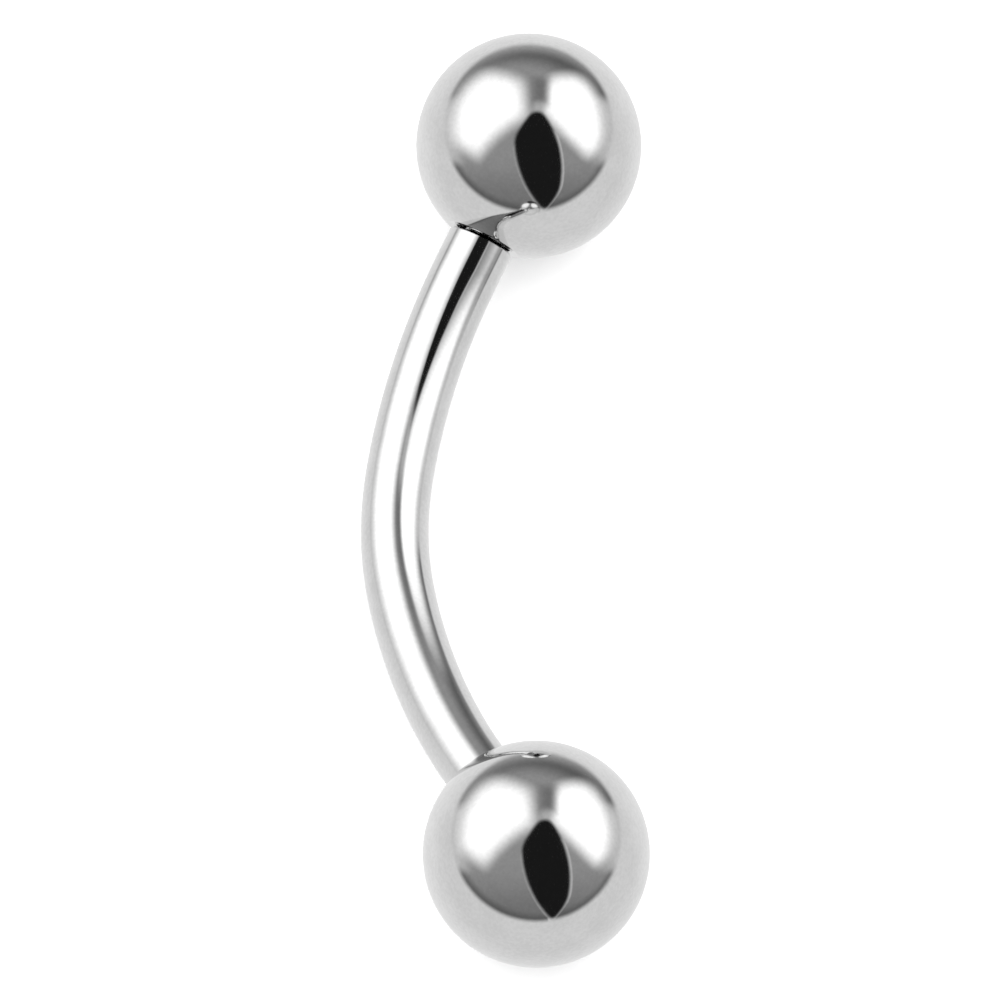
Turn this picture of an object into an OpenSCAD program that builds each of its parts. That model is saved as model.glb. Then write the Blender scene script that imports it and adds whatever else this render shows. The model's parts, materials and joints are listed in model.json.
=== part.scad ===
// Curved eyebrow barbell, in millimetres.
// A bent round bar with a threaded stud on each end, and a ball screwed onto each stud.
// It lies as it would on a table: on both balls and on the belly of the bend.
// X runs from the upper ball to the lower ball, the bend bows towards -Y, and Z = 0 is the table.

/* [Bar] */
// Diameter of the round bar, which is the gauge of the piercing
bar_d = 1.2; // [0.8:0.1:1.6]
// Straight stretch that shows next to each ball
run_len = 0.6; // [0.2:0.05:3]
// Centreline radius of the gentle bend on each side of the middle
side_bend_r = 11.2; // [8:0.1:16]
// Angle that each gentle bend turns through, in degrees
side_bend_angle = 20; // [10:1:30]
// Centreline radius of the tighter bend in the middle
middle_bend_r = 6.3; // [4:0.1:10]
// Angle that the middle bend turns through, in degrees
middle_bend_angle = 22; // [10:1:40]
// Width of the small bevel round each end of the bar
bar_bevel = 0.03; // [0.01:0.01:0.08]

/* [Threaded studs] */
// Step from the bar's surface down to the thread's crests, which makes the shoulder
shoulder_step = 0.1; // [0.08:0.01:0.15]
// Distance from one thread crest to the next
thread_pitch = 0.25; // [0.15:0.01:0.3]
// Smooth neck between the shoulder and the first thread
neck_len = 0.15; // [0.05:0.05:0.4]
// Width of the bevel on the free end of a stud
stud_bevel = 0.12; // [0.05:0.01:0.2]

/* [Balls] */
// Diameter of each ball
ball_d = 4; // [3:0.5:5]
// Width of the flat seat that shows all round the bar
seat_lip = 0.1; // [0.05:0.01:0.3]
// Steel left behind the drill point of the hole
far_wall = 0.9; // [0.5:0.1:1.2]
// Width of the bevel round the mouth of the hole
hole_bevel = 0.04; // [0.02:0.01:0.06]
// Full angle of the drill point at the bottom of the hole, in degrees
drill_point_angle = 118; // [90:1:140]

/* [Clearances] */
// Gap between a ball's seat and the bar's shoulder
seam_gap = 0.05; // [0.03:0.01:0.1]
// Gap all round between the thread's crests and the hole
thread_clearance = 0.03; // [0.01:0.01:0.1]
// Gap between the stud's free end and the bottom of the hole
hole_end_gap = 0.2; // [0.1:0.05:0.5]

/* [Hidden] */
$fn = 96;

// Shares of the pitch in a 60 degree thread: flat on each crest, flat in each root, and depth
crest_share = 1 / 8;
root_share = 1 / 4;
depth_share = 5 / 8 * cos(30);

bar_r = bar_d / 2;
ball_r = ball_d / 2;
seat_r = bar_r + seat_lip;
seat_depth = sqrt(ball_r * ball_r - seat_r * seat_r);

thread_r = bar_r - shoulder_step;
root_r = thread_r - thread_pitch * depth_share;
hole_r = thread_r + thread_clearance;
drill_point_len = hole_r / tan(drill_point_angle / 2);
hole_len = seat_depth + ball_r - far_wall - drill_point_len;
stud_len = hole_len + seam_gap - hole_end_gap;
ridges = floor((stud_len - neck_len - stud_bevel) / thread_pitch);

// The bar's centreline starts at the upper ball's centre and heads along +X in its own flat frame
shoulder_depth = seat_depth + seam_gap;
bend_angle = 2 * side_bend_angle + middle_bend_angle;
side_bend_centre = [shoulder_depth + run_len, 0] + side_bend_r * left_of(0);
middle_bend_centre = side_bend_centre - (side_bend_r - middle_bend_r) * left_of(side_bend_angle);

// The chord joins the two ball centres. The apex is the centreline's middle, and the bow its distance
// from the chord.
chord_angle = bend_angle / 2;
apex = middle_bend_centre - middle_bend_r * left_of(chord_angle);
chord_len = 2 * apex * ahead(chord_angle);
bow = -apex * left_of(chord_angle);
lower_ball_centre = chord_len * ahead(chord_angle);

// Lying on the table, the flat frame tips until the belly of the bend touches it
rest_tilt = asin(min(1, (ball_r - bar_r) / bow));
front_reach = max(ball_r, bow * cos(rest_tilt) + bar_r);
centre_y = (ball_r - front_reach) / 2;

function ahead(angle) = [cos(angle), sin(angle)];
function left_of(angle) = [-sin(angle), cos(angle)];
function round_to(value, step) = is_list(value)
    ? [for (each_value = value) round_to(each_value, step)]
    : round(value / step) * step;

// Corners of one ridge of the stud's half profile, as [radius, distance along the bar]
function thread_ridge(low) = [
    [root_r, low],
    [thread_r, low + thread_pitch * (1 - crest_share - root_share) / 2],
    [thread_r, low + thread_pitch * (1 + crest_share - root_share) / 2],
    [root_r, low + thread_pitch * (1 - root_share)],
];

// Puts the flat frame on the table, centred over the origin
module laid_down() {
    moved([0, -centre_y, ball_r])
        turned(rest_tilt, [1, 0, 0])
            at(-chord_len / 2 * [1, 0], -chord_angle)
                children();
}

// Moves to a point of the flat frame and turns to a heading there
module at(point, heading) {
    moved([point.x, point.y, 0])
        turned(heading, [0, 0, 1])
            children();
}

// Moves and turns are each made as a coarse step and the small rest, so that the ends of neighbouring
// stretches meet exactly
module moved(step) {
    coarse_step = round_to(step, 1e-3);
    translate(coarse_step)
        translate(step - coarse_step)
            children();
}

module turned(angle, axis) {
    coarse_angle = atan2(round_to(sin(angle), 1e-6), round_to(cos(angle), 1e-6));
    rotate(angle * axis)
        rotate((angle - coarse_angle) * axis)
            children();
}

// Stretch of the bar that starts along +X and bends to the left, with its children at its far end
module bent_bar(radius, angle) {
    translate([0, radius, 0])
        rotate([0, 0, -90])
            rotate_extrude(angle = angle)
                translate([radius, 0])
                    circle(r = bar_r);
    at(radius * [sin(angle), 1 - cos(angle)], angle)
        children();
}

// End of the bar, facing +X: a straight run, a bevelled shoulder, and a stud with a neck, ridges and a
// bevelled tip
module bar_end() {
    rotate([0, 90, 0])
        rotate_extrude()
            polygon([
                [0, 0],
                [bar_r, 0],
                [bar_r, run_len - bar_bevel],
                [bar_r - bar_bevel, run_len],
                [root_r, run_len],
                for (i = [0 : ridges - 1]) each thread_ridge(run_len + neck_len + i * thread_pitch),
                [root_r, run_len + stud_len - stud_bevel],
                [root_r - stud_bevel, run_len + stud_len],
                [0, run_len + stud_len],
            ]);
}

// Ball about the origin, turned from its half section, with its seat and threaded hole facing +X
module threaded_ball() {
    rotate([0, 90, 0])
        rotate_extrude()
            ball_section();
}

// Half section of a ball, with the hole's axis along Y and the seat at the top
module ball_section() {
    difference() {
        intersection() {
            circle(r = ball_r);
            translate([0, -ball_r])
                square([ball_r, ball_r + seat_depth]);
        }
        translate([0, seat_depth])
            hole_section();
    }
}

// Half section of the drilled hole below Y = 0: a bevelled mouth, a straight bore and the drill point
module hole_section() {
    polygon([
        [0, -hole_len - drill_point_len],
        [hole_r, -hole_len],
        [hole_r, -hole_bevel],
        [hole_r + hole_bevel, 0],
        [0, 0],
    ]);
}

module curved_bar() {
    color("silver")
        laid_down()
            moved([shoulder_depth + run_len, 0, 0]) {
                mirror([1, 0, 0])
                    bar_end();
                bent_bar(side_bend_r, side_bend_angle)
                    bent_bar(middle_bend_r, middle_bend_angle)
                        bent_bar(side_bend_r, side_bend_angle)
                            bar_end();
            }
}

module upper_ball() {
    color("gainsboro")
        laid_down()
            threaded_ball();
}

module lower_ball() {
    color("gainsboro")
        laid_down()
            at(lower_ball_centre, bend_angle + 180)
                threaded_ball();
}

curved_bar();
upper_ball();
lower_ball();
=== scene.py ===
# Curved eyebrow barbell: a bent steel bar with a ball screwed onto each end, lying on a pale studio floor.
# Every length is in metres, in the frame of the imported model.
import json
import math
from collections import namedtuple

import bmesh
import bpy
import numpy as np
from mathutils import Matrix, Vector


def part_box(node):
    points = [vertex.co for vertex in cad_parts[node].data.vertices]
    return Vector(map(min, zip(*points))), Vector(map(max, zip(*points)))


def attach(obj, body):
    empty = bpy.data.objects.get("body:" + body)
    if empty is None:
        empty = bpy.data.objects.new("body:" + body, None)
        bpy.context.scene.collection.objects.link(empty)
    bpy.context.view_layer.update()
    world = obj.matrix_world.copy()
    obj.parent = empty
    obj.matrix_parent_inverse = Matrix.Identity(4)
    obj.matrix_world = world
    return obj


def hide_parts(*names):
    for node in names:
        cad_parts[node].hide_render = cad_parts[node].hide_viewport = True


MM = 0.001

# Bar. Its stations are distances along the centreline from the upper ball's centre.
BAR_R = 0.6 * MM
RUN_LEN = 0.6 * MM
Bend = namedtuple("Bend", "r angle")
BENDS = [
    Bend(11.2 * MM, math.radians(20)),
    Bend(6.3 * MM, math.radians(22)),
    Bend(11.2 * MM, math.radians(20)),
]
BAR_BEVEL = 0.03 * MM

# Threaded studs, with a 60 degree thread flattened to five eighths of its full height
PITCH = 0.25 * MM
THREAD_R = 0.5 * MM
THREAD_DEPTH = PITCH * 5 / 8 * math.cos(math.radians(30))
ROOT_R = THREAD_R - THREAD_DEPTH
NECK_LEN = 0.15 * MM
STUD_LEN = 2.505 * MM
STUD_BEVEL = 0.12 * MM

# Balls. Their stations are distances from the centre towards the seat.
SEAT_R = 0.7 * MM
SEAT_RIM_R = 0.08 * MM
SEAM_GAP = 0.05 * MM
HOLE_R = 0.53 * MM
HOLE_BEVEL = 0.04 * MM
HOLE_LEN = 2.655 * MM
GROOVE_DEPTH = 0.07 * MM
DRILL_POINT = math.radians(118)
THREAD_INSET = 0.1 * MM

# Shares of one turn of the thread, and how high the thread stands there. Two corners make each round.
ThreadCorner = namedtuple("ThreadCorner", "turn height")
THREAD_FORM = [
    ThreadCorner(0.03, 0.0),
    ThreadCorner(0.22, 0.0),
    ThreadCorner(0.29, 0.13),
    ThreadCorner(0.52, 0.87),
    ThreadCorner(0.59, 1.0),
    ThreadCorner(0.66, 1.0),
    ThreadCorner(0.73, 0.87),
    ThreadCorner(0.96, 0.13),
]
# Distance over which a thread fades out
RUN_OUT = 0.2 * MM

# Fineness of the meshes
BAR_COLUMNS = 160
BALL_COLUMNS = 240
BEND_ROWS = 150
RUN_ROWS = 8
BALL_ROWS = 150
RIM_ROWS = 6
MERGE_DISTANCE = 1e-7
SHARP_EDGE = math.radians(28)

# Mesh attribute with each point's place if the bar were straight: across, upwards, and along
STRAIGHTENED = "straightened"

# Camera, as the photograph looks at the barbell: down along it, with the lower ball nearer
CAMERA_AZIMUTH = math.radians(89.6)
CAMERA_ELEVATION = math.radians(63.3)
CAMERA_ROLL = math.radians(-0.59)
CAMERA_DISTANCE = 700 * MM
CAMERA_AIM = Vector((-0.181 * MM, -0.054 * MM, 1.59 * MM))
PICTURE_WIDTH = 17.66 * MM
SENSOR_WIDTH = 36.0  # in millimetres, as Blender counts lenses
CLIP_START = 0.07
CLIP_END = 12.0

# Steel. The scales of its noises are per metre. A noise at the ends of NOISE_SPAN gives the ends of the
# two spans below it, which are shares of the steel's own roughness and tone.
STEEL_TONE = 0.8
BAR_ROUGHNESS = 0.06
BALL_ROUGHNESS = 0.05
BAR_STREAK_LENGTH = 30.0
BALL_STREAK_LENGTH = 1.0
MOTTLE_SCALE = 2500.0
GRAIN_SCALE = 14000.0
STREAK_SCALE = 30000.0
GRAIN_SHARE = 0.6
NOISE_SPAN = (0.3, 0.7)
ROUGHNESS_SPAN = (0.7, 1.4)
TONE_SPAN = (0.95, 1.05)
STREAK_HEIGHT = 0.15
BUMP_STRENGTH = 0.04
BUMP_DEPTH = 0.01 * MM

# Floor
FLOOR_SIZE = 3.0
FLOOR_GRAIN_SCALE = 900.0
FLOOR_TONES = (0.915, 0.935)
FLOOR_ROUGHNESS = 0.9
FLOOR_SPECULAR = 0.2

# Studio
TENT_R = 1.0
TENT_SUBDIVISIONS = 5
KEY_SIZE = 0.3
KEY_PLACE = Vector((-0.09, 0.12, 0.3))
KEY_POWER = 0.12
SKY_STRENGTH = 1.9
# Keeps the halfway vector from vanishing straight behind the barbell
HALFWAY_NUDGE = 1e-4


def box_centre(node):
    """Middle of a CAD node's box."""
    low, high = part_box(node)
    return (low + high) / 2


def full_row(station, radius, columns):
    """One ring of a piece: its stations and its radii, for each column and the first one again."""
    return np.full(columns + 1, float(station)), np.full(columns + 1, float(radius))


def rings(profile, columns):
    """Plain rings from a list of (station, radius)."""
    return [full_row(station, radius, columns) for station, radius in profile]


def thread_rows(start, end, low_r, depth, columns):
    """Rows of a right-hand thread between two stations, which fades out at both ends."""
    turn = np.linspace(0, 1, columns + 1)
    # The plain ring lets the first column, where the thread begins, close without a gap.
    rows = [full_row(start, low_r, columns)]
    for whole_turn in range(-1, math.ceil((end - start) / PITCH) + 1):
        for corner in THREAD_FORM:
            free = start + PITCH * (whole_turn + corner.turn + turn)
            fade = np.clip(np.minimum(free - start, end - free) / RUN_OUT, 0, 1)
            rows.append((np.clip(free, start, end), low_r + depth * corner.height * fade))
    return rows


def turned_round(rows, pivot):
    """The same rows facing the other way from a pivot station, with the thread still right-handed."""
    return [(pivot - stations[::-1], radii[::-1]) for stations, radii in reversed(rows)]


def moved_along(rows, distance):
    """The same rows, moved along the stations."""
    return [(stations + distance, radii) for stations, radii in rows]


class Spine:
    """Centreline of the bar, carried on straight through both balls."""

    def __init__(self, upper_centre, lower_centre, upper_axis, lower_axis, shoulder_depth):
        self.origin = np.array(upper_centre)
        self.ahead = -np.array(upper_axis)
        self.up = np.cross(self.ahead, lower_axis)
        self.up /= np.linalg.norm(self.up)
        self.left = np.cross(self.up, self.ahead)
        self.bend_start = shoulder_depth + RUN_LEN
        self.bend_end = self.bend_start + sum(bend.r * bend.angle for bend in BENDS)
        self.length = self.bend_end + RUN_LEN + shoulder_depth

    def at(self, stations):
        """Points of the centreline, and the directions to its left there."""
        x = np.minimum(stations, self.bend_start)
        y = np.zeros_like(x)
        heading = np.zeros_like(x)
        start = self.bend_start
        for bend in BENDS:
            turned = heading + np.clip((stations - start) / bend.r, 0, bend.angle)
            x += bend.r * (np.sin(turned) - np.sin(heading))
            y += bend.r * (np.cos(heading) - np.cos(turned))
            heading = turned
            start += bend.r * bend.angle
        after = np.maximum(stations - start, 0)
        x += after * np.cos(heading)
        y += after * np.sin(heading)
        points = self.origin + x[..., None] * self.ahead + y[..., None] * self.left
        side = np.cos(heading)[..., None] * self.left - np.sin(heading)[..., None] * self.ahead
        return points, side


def wrapped_round(name, rows, spine):
    """Closed mesh whose rows of rings follow the spine. Its straightened shape is kept for the finish."""
    stations = np.array([row[0] for row in rows])
    radii = np.array([row[1] for row in rows])
    turn = np.linspace(0, 2 * math.pi, stations.shape[1])
    across, upwards = np.cos(turn) * radii, np.sin(turn) * radii
    points, side = spine.at(stations)
    verts = points + across[..., None] * side + upwards[..., None] * spine.up
    straight = np.stack([across, upwards, stations], axis=-1)

    count, columns = stations.shape
    index = np.arange(count * columns).reshape(count, columns)
    corners = (index[:-1, :-1], index[1:, :-1], index[1:, 1:], index[:-1, 1:])
    faces = np.stack(corners, axis=-1).reshape(-1, 4)
    mesh = bpy.data.meshes.new(name)
    mesh.from_pydata(verts.reshape(-1, 3).tolist(), [], faces.tolist())
    layer = mesh.attributes.new(STRAIGHTENED, "FLOAT_VECTOR", "POINT")
    layer.data.foreach_set("vector", straight.reshape(-1).astype(np.float32))
    close_up(mesh)
    piece = bpy.data.objects.new(name, mesh)
    bpy.context.scene.collection.objects.link(piece)
    return piece


def close_up(mesh):
    """Joins the first and last columns and the collapsed rows, and sets normals and sharp edges."""
    work = bmesh.new()
    work.from_mesh(mesh)
    bmesh.ops.remove_doubles(work, verts=work.verts, dist=MERGE_DISTANCE)
    bmesh.ops.dissolve_degenerate(work, edges=work.edges, dist=MERGE_DISTANCE)
    bmesh.ops.recalc_face_normals(work, faces=work.faces)
    for face in work.faces:
        face.smooth = True
    for edge in work.edges:
        edge.smooth = edge.calc_face_angle(0) < SHARP_EDGE
    work.to_mesh(mesh)
    work.free()


def seat_depth(ball_r):
    """Distance from a ball's centre to its flat seat."""
    return math.sqrt(ball_r**2 - SEAT_R**2)


def ball_rows(ball_r):
    """Rows of a ball from the drill point of its hole out to its far side."""
    seat = seat_depth(ball_r)
    hole_end = seat - HOLE_LEN
    rim_station = seat - SEAT_RIM_R
    rim_centre_r = math.sqrt((ball_r - SEAT_RIM_R) ** 2 - rim_station**2)
    rim_angle = math.atan2(rim_centre_r, rim_station)

    rim = np.linspace(0, rim_angle, RIM_ROWS)
    sphere = np.linspace(rim_angle, math.pi, BALL_ROWS)[1:]
    outside = [
        (seat - HOLE_BEVEL, HOLE_R),
        (seat, HOLE_R + HOLE_BEVEL),
        *[(rim_station + SEAT_RIM_R * math.cos(a), rim_centre_r + SEAT_RIM_R * math.sin(a)) for a in rim],
        *[(ball_r * math.cos(a), ball_r * math.sin(a)) for a in sphere[:-1]],
        (-ball_r, 0.0),
    ]
    drill_point = [(hole_end - HOLE_R / math.tan(DRILL_POINT / 2), 0.0), (hole_end, HOLE_R)]
    thread_start = hole_end + THREAD_INSET
    thread_end = seat - THREAD_INSET
    return [
        *rings(drill_point, BALL_COLUMNS),
        *thread_rows(thread_start, thread_end, HOLE_R, GROOVE_DEPTH, BALL_COLUMNS),
        *rings(outside, BALL_COLUMNS),
    ]


def bar_end_rows():
    """Rows of one end of the bar, from the edge of its shoulder, at station 0, to the stud's tip."""
    thread_end = STUD_LEN - STUD_BEVEL
    shoulder = [(-BAR_BEVEL, BAR_R), (0.0, BAR_R - BAR_BEVEL), (0.0, ROOT_R)]
    tip = [(thread_end, ROOT_R), (STUD_LEN, ROOT_R - STUD_BEVEL), (STUD_LEN, 0.0)]
    return [
        *rings(shoulder, BAR_COLUMNS),
        *thread_rows(NECK_LEN, thread_end, ROOT_R, THREAD_DEPTH, BAR_COLUMNS),
        *rings(tip, BAR_COLUMNS),
    ]


def bar_rows(spine, shoulder_depth):
    """Rows of the whole bar, from the tip of the upper stud to the tip of the lower one."""
    lower_end = moved_along(bar_end_rows(), spine.length - shoulder_depth)
    upper_end = turned_round(lower_end, spine.length)
    start = shoulder_depth + BAR_BEVEL
    end = spine.length - shoulder_depth - BAR_BEVEL
    stations = [
        *np.linspace(start, spine.bend_start, RUN_ROWS)[1:],
        *np.linspace(spine.bend_start, spine.bend_end, BEND_ROWS)[1:],
        *np.linspace(spine.bend_end, end, RUN_ROWS)[1:-1],
    ]
    return [*upper_end, *rings([(station, BAR_R) for station in stations], BAR_COLUMNS), *lower_end]


class Painter:
    """Adds nodes to one material. Each method gives the new node's output."""

    def __init__(self, name):
        self.material = bpy.data.materials.new(name)
        self.material.use_nodes = True
        self.tree = self.material.node_tree
        self.tree.nodes.clear()

    def node(self, kind, inputs=(), **settings):
        """New node with these settings. An input is a plain value, or a link from another node."""
        made = self.tree.nodes.new(kind)
        for key, value in settings.items():
            setattr(made, key, value)
        for key, value in dict(inputs).items():
            if isinstance(value, bpy.types.NodeSocket):
                self.tree.links.new(value, made.inputs[key])
            else:
                made.inputs[key].default_value = value
        return made

    def math(self, operation, *values):
        return self.node("ShaderNodeMath", enumerate(values), operation=operation).outputs[0]

    def vector(self, operation, *values):
        """Vector result of a vector operation."""
        return self.node("ShaderNodeVectorMath", enumerate(values), operation=operation).outputs[0]

    def measure(self, operation, *values):
        """Plain number that a vector operation gives, such as a distance."""
        return self.node("ShaderNodeVectorMath", enumerate(values), operation=operation).outputs[1]

    def mixed(self, first, second, share):
        """This share of the first value, and the rest of the second."""
        rest = self.math("MULTIPLY", second, 1 - share)
        return self.math("MULTIPLY_ADD", first, share, rest)

    def ramp(self, value, start, end, low, high):
        """Runs smoothly from low to high while the value goes from start to end."""
        inputs = {"Value": value, "From Min": start, "From Max": end, "To Min": low, "To Max": high}
        return self.node("ShaderNodeMapRange", inputs, interpolation_type="SMOOTHSTEP").outputs[0]

    def noise(self, place, scale, detail=2.0):
        inputs = {"Vector": place, "Scale": scale, "Detail": detail}
        return self.node("ShaderNodeTexNoise", inputs).outputs[0]

    def grey(self, shade):
        inputs = {"Red": shade, "Green": shade, "Blue": shade}
        return self.node("ShaderNodeCombineColor", inputs).outputs[0]

    def finish(self, kind, inputs):
        """Ends the material with this shader, and gives the material."""
        shader = self.node(kind, inputs).outputs[0]
        self.node("ShaderNodeOutputMaterial", {"Surface": shader})
        return self.material


# What the steel mirrors towards the camera, drawn as a mirror ball shows it: x and y run right and up
# from the ball's middle, and its edge is at 1. Each light lies over the ones before it, and its shape
# is the space inside all of its bounds. A Below faces outwards at an angle, in degrees from the right.
# Softness is the width of a light's faded edge, and rounding rounds its corners off.
Inside = namedtuple("Inside", "x y r")
Outside = namedtuple("Outside", "x y r")
Below = namedtuple("Below", "x y facing")
Light = namedtuple("Light", "name level softness rounding bounds")

# The tent paints the table's reflection as glow, since the floor itself isn't mirrored: the table's edge
# shows as a circle round the opening of the studio above it, and the painted table is darker near that
# edge.
OPENING = (0.0, 0.1475)
ROOM_LEVEL = 0.31
STUDIO = [
    Light("dim_foot", 0.19, 0.50, 0.0, [Below(0.0, -0.30, 90)]),
    Light("dark_top", 0.125, 0.17, 0.0, [Outside(-0.085, -0.005, 0.755)]),
    Light("dark_foot_edge", 0.11, 0.08, 0.0, [Outside(0.01, 0.20, 0.735)]),
    Light("side_glow", 0.60, 0.12, 0.10, [
        Outside(*OPENING, 0.66), Below(0.0, 0.42, 90), Below(0.0, -0.14, 270),
    ]),
    Light("left_softbox", 1.35, 0.19, 0.12, [
        Inside(*OPENING, 0.67), Inside(-0.25, 0.19, 0.465),
        Below(-0.04, 0.35, 6), Below(-0.2, 0.62, 70),
        Outside(0.43, -0.70, 1.07), Below(-0.45, -0.09, 240),
    ]),
    Light("right_softbox", 1.35, 0.16, 0.10, [
        Inside(*OPENING, 0.655), Inside(0.34, 0.24, 0.38),
        Below(0.14, 0.4, 170), Below(0.335, 0.09, 225),
    ]),
    Light("neck_line", 0.19, 0.11, 0.05, [
        Below(0.165, 0.0, 0), Below(0.04, 0.0, 180),
        Below(0.0, 0.60, 90), Below(0.0, 0.37, 270),
    ]),
    Light("glow_between", 0.50, 0.10, 0.0, [Inside(0.08, 0.335, 0.045)]),
    Light("light_gap_edge", 0.62, 0.015, 0.07, [
        Inside(-0.543, -0.214, 0.857),
        Below(0.228, -0.488, -40), Below(0.10, 0.0, 180), Below(0.0, 0.14, 90),
    ]),
    Light("grey_gap_edge", 0.42, 0.015, 0.07, [
        Inside(0.78, 0.065, 0.925), Below(0.12, 0.0, 0), Below(0.0, 0.02, 90),
    ]),
    Light("dark_gap", 0.011, 0.04, 0.07, [
        Inside(-0.543, -0.214, 0.840), Inside(0.78, 0.065, 0.91),
        Below(-0.05, 0.20, 145), Below(0.0, 0.30, 95), Below(0.215, -0.50, -40),
    ]),
    # Painted reflection of the table: darker next to the opening, lighter further out.
    Light("painted_table_near", 0.72, 0.05, 0.0, [Outside(0.0, 0.158, 0.742)]),
    Light("painted_table_far", 0.87, 0.24, 0.0, [Outside(0.0, 0.02, 0.88), Outside(0.02, -0.07, 0.89)]),
]


def mirror_place(painter):
    """Where a mirror ball shows each point of the tent."""
    coords = painter.node("ShaderNodeTexCoord").outputs["Object"]
    direction = painter.vector("NORMALIZE", coords)
    towards_camera = (0.0, 0.0, 1.0 + HALFWAY_NUDGE)
    halfway = painter.vector("NORMALIZE", painter.vector("ADD", direction, towards_camera))
    return painter.vector("MULTIPLY", halfway, (1.0, 1.0, 0.0))


def bound_distance(painter, place, bound):
    """How far a place lies outside one bound."""
    middle = (bound.x, bound.y, 0.0)
    if isinstance(bound, Inside):
        return painter.math("SUBTRACT", painter.measure("DISTANCE", place, middle), bound.r)
    if isinstance(bound, Outside):
        return painter.math("SUBTRACT", bound.r, painter.measure("DISTANCE", place, middle))
    facing = math.radians(bound.facing)
    outwards = (math.cos(facing), math.sin(facing), 0.0)
    offset = bound.x * outwards[0] + bound.y * outwards[1]
    return painter.math("SUBTRACT", painter.measure("DOT_PRODUCT", place, outwards), offset)


def add_light(painter, place, behind, light):
    """Lays one soft shape of the studio over what is behind it."""
    outside = bound_distance(painter, place, light.bounds[0])
    for bound in light.bounds[1:]:
        distance = bound_distance(painter, place, bound)
        outside = painter.math("SMOOTH_MAX", outside, distance, light.rounding)
    half = light.softness / 2
    share = painter.ramp(outside, -half, half, 1.0, 0.0)
    inputs = {"Factor": share, "A": behind, "B": light.level}
    return painter.node("ShaderNodeMix", inputs, label=light.name).outputs[0]


def studio_material():
    """Glow of the tent's wall: the room's own level, with the studio's lights laid over it."""
    painter = Painter("studio_tent")
    place = mirror_place(painter)
    level = ROOM_LEVEL
    for light in STUDIO:
        level = add_light(painter, place, level, light)
    painter.material.cycles.emission_sampling = "NONE"
    return painter.finish("ShaderNodeEmission", {"Strength": level})


def shares(value, span):
    """A value times the low and the high end of a span."""
    return value * span[0], value * span[1]


def steel(name, roughness, streak_length):
    """Polished steel with faint streaks and mottling. A longer streak runs further along the piece."""
    painter = Painter(name)
    place = painter.node("ShaderNodeAttribute", attribute_name=STRAIGHTENED).outputs["Vector"]
    drawn_out = painter.vector("MULTIPLY", place, (1.0, 1.0, 1.0 / streak_length))
    mottle = painter.noise(place, MOTTLE_SCALE)
    grain = painter.noise(place, GRAIN_SCALE, detail=4.0)
    streaks = painter.noise(drawn_out, STREAK_SCALE, detail=3.0)
    dulled = painter.mixed(mottle, streaks, 0.5)
    blotches = painter.mixed(grain, mottle, GRAIN_SHARE)
    tone = painter.ramp(blotches, *NOISE_SPAN, *shares(STEEL_TONE, TONE_SPAN))
    heights = painter.math("ADD", mottle, painter.math("MULTIPLY", streaks, STREAK_HEIGHT))
    bump = {"Height": heights, "Strength": BUMP_STRENGTH, "Distance": BUMP_DEPTH}
    return painter.finish("ShaderNodeBsdfPrincipled", {
        "Base Color": painter.grey(tone),
        "Metallic": 1.0,
        "Roughness": painter.ramp(dulled, *NOISE_SPAN, *shares(roughness, ROUGHNESS_SPAN)),
        "Normal": painter.node("ShaderNodeBump", bump).outputs[0],
    })


def floor_material():
    """Pale matt board with a faint grain."""
    painter = Painter("pale_board")
    place = painter.node("ShaderNodeTexCoord").outputs["Object"]
    grain = painter.noise(place, FLOOR_GRAIN_SCALE, detail=4.0)
    return painter.finish("ShaderNodeBsdfPrincipled", {
        "Base Color": painter.grey(painter.ramp(grain, *NOISE_SPAN, *FLOOR_TONES)),
        "Roughness": FLOOR_ROUGHNESS,
        "Specular IOR Level": FLOOR_SPECULAR,
    })


def camera_axes():
    """The photograph's right, up and backward directions."""
    back = Vector((
        math.sin(CAMERA_AZIMUTH) * math.cos(CAMERA_ELEVATION),
        -math.cos(CAMERA_AZIMUTH) * math.cos(CAMERA_ELEVATION),
        math.sin(CAMERA_ELEVATION),
    ))
    towards_upper_ball = Vector((-1, 0, 0))
    up = (towards_upper_ball - back * back.dot(towards_upper_ball)).normalized()
    axes = Matrix((up.cross(back), up, back)).transposed()
    return (axes @ Matrix.Rotation(CAMERA_ROLL, 3, "Z")).to_4x4()


def add_camera(axes):
    lens = bpy.data.cameras.new("camera")
    lens.sensor_width = SENSOR_WIDTH
    lens.lens = SENSOR_WIDTH * CAMERA_DISTANCE / PICTURE_WIDTH
    lens.clip_start = CLIP_START
    lens.clip_end = CLIP_END
    camera = bpy.data.objects.new("camera", lens)
    place = CAMERA_AIM + axes.to_3x3() @ Vector((0.0, 0.0, CAMERA_DISTANCE))
    camera.matrix_world = Matrix.Translation(place) @ axes
    bpy.context.scene.collection.objects.link(camera)
    bpy.context.scene.camera = camera


def add_floor():
    half = FLOOR_SIZE / 2
    mesh = bpy.data.meshes.new("floor")
    corners = [(-half, -half, 0), (half, -half, 0), (half, half, 0), (-half, half, 0)]
    mesh.from_pydata(corners, [], [(0, 1, 2, 3)])
    floor = bpy.data.objects.new("floor", mesh)
    floor.data.materials.append(floor_material())
    floor.visible_glossy = False
    bpy.context.scene.collection.objects.link(floor)


def add_tent(axes):
    """Round tent about the whole scene. It shows only in the steel, and neither lights nor shades."""
    work = bmesh.new()
    bmesh.ops.create_icosphere(work, subdivisions=TENT_SUBDIVISIONS, radius=TENT_R)
    mesh = bpy.data.meshes.new("studio_tent")
    work.to_mesh(mesh)
    work.free()
    mesh.materials.append(studio_material())
    tent = bpy.data.objects.new("studio_tent", mesh)
    tent.matrix_world = axes
    tent.visible_camera = False
    tent.visible_diffuse = False
    tent.visible_shadow = False
    tent.visible_transmission = False
    tent.visible_volume_scatter = False
    bpy.context.scene.collection.objects.link(tent)


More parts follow.
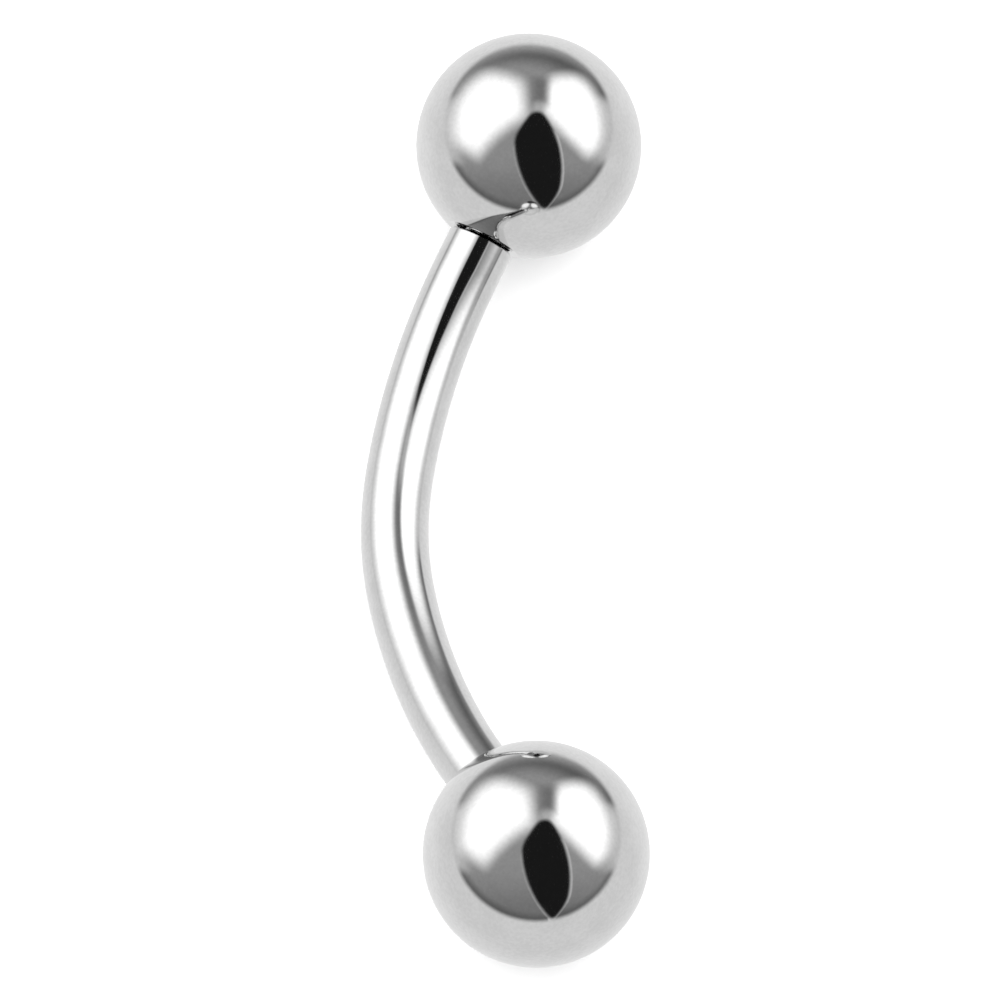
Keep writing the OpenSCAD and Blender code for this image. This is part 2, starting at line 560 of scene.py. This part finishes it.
def add_sky():
    world = bpy.data.worlds.new("soft_sky")
    world.use_nodes = True
    world.node_tree.nodes["Background"].inputs["Strength"].default_value = SKY_STRENGTH
    world.node_tree.nodes["Background"].inputs["Color"].default_value = (1.0, 1.0, 1.0, 1.0)
    bpy.context.scene.world = world


def add_key_light():
    """Large softbox above the barbell, for the soft shadow on the floor."""
    light = bpy.data.lights.new("key_light", "AREA")
    light.shape = "DISK"
    light.size = KEY_SIZE
    light.energy = KEY_POWER
    key = bpy.data.objects.new("key_light", light)
    key.location = KEY_PLACE
    key.rotation_euler = (-KEY_PLACE).to_track_quat("-Z", "Y").to_euler()
    key.visible_glossy = False
    bpy.context.scene.collection.objects.link(key)


def add_piece(name, rows, spine, material, body, node):
    piece = wrapped_round(name, rows, spine)
    piece.data.materials.append(material)
    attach(piece, body)
    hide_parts(node)


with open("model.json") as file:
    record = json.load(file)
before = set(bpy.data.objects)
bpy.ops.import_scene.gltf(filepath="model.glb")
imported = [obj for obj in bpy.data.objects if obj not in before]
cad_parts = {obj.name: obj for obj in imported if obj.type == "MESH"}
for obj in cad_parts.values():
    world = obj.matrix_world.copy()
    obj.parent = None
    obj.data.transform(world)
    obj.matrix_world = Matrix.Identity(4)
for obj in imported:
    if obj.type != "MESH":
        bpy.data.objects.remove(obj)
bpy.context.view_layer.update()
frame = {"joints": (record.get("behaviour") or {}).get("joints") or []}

unscrew = {joint["child"]: joint["axis"] for joint in frame["joints"]}
ball_low, ball_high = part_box("upper_ball")
ball_r = (ball_high.x - ball_low.x) / 2
shoulder_depth = seat_depth(ball_r) + SEAM_GAP
spine = Spine(
    box_centre("upper_ball"), box_centre("lower_ball"),
    unscrew["upper_ball"], unscrew["lower_ball"], shoulder_depth,
)

bar_steel = steel("bar_steel", BAR_ROUGHNESS, BAR_STREAK_LENGTH)
ball_steel = steel("ball_steel", BALL_ROUGHNESS, BALL_STREAK_LENGTH)
add_piece("bar", bar_rows(spine, shoulder_depth), spine, bar_steel, "bar", "curved_bar")
add_piece("ball_upper", ball_rows(ball_r), spine, ball_steel, "upper_ball", "upper_ball")
lower_rows = turned_round(ball_rows(ball_r), spine.length)
add_piece("ball_lower", lower_rows, spine, ball_steel, "lower_ball", "lower_ball")

photo_axes = camera_axes()
add_camera(photo_axes)
add_floor()
add_tent(photo_axes)
add_sky()
add_key_light()
bpy.context.scene.view_settings.view_transform = "Standard"
